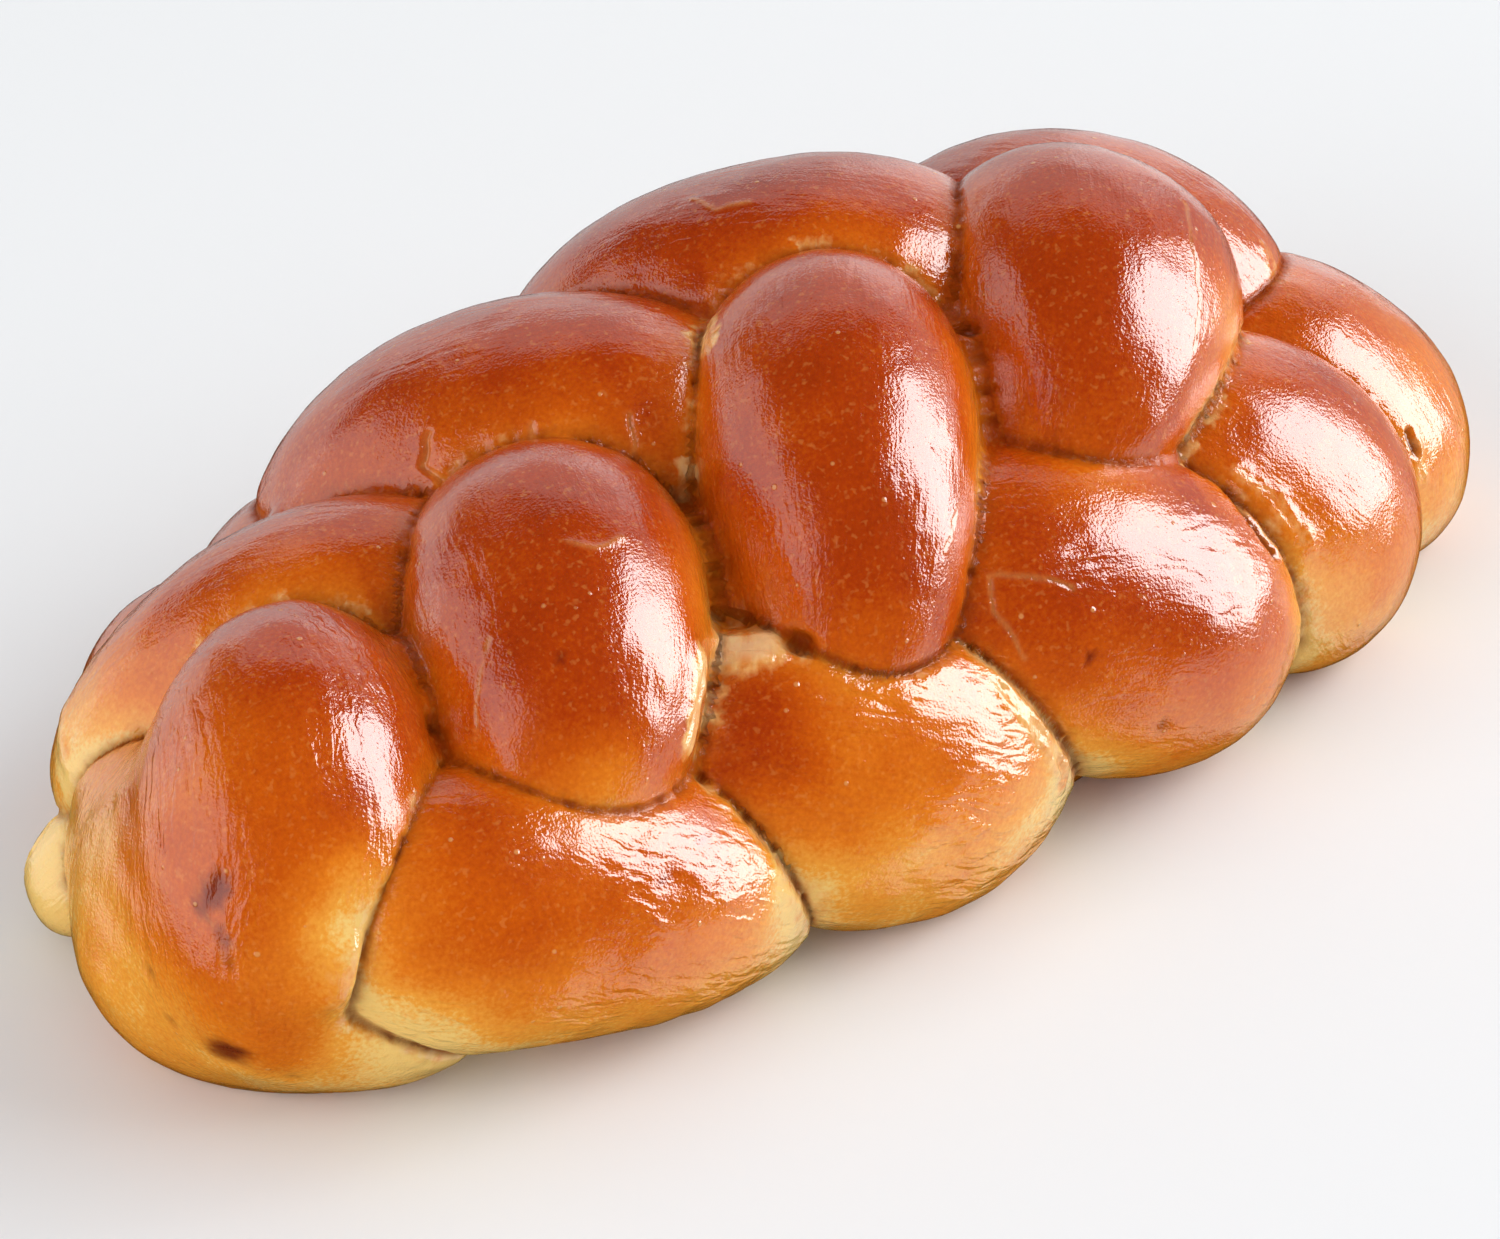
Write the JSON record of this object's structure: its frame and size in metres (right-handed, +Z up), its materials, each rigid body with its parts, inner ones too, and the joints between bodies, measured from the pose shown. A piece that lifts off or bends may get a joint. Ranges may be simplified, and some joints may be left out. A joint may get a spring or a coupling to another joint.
{
  "type": "braided loaf",
  "caption": "Plump oblong braided loaf with a glossy egg-washed crust, overlapping strand lobes, deep creases and a flat underside.",
  "frame": {"origin": "middle of the flat underside, at the centre of the bounding box in X and Y", "axes": "+X along the braid towards its far, right-hand end, +Y to the back, +Z up from the surface it rests on"},
  "size_m": [0.3244, 0.1706, 0.1048],
  "materials": {
    "crust": "baked crust, red-brown and glossy on top, golden in the creases and at the base"
  },
  "bodies": {
    "root": {"loaf": "crust"}
  },
  "joints": []
}
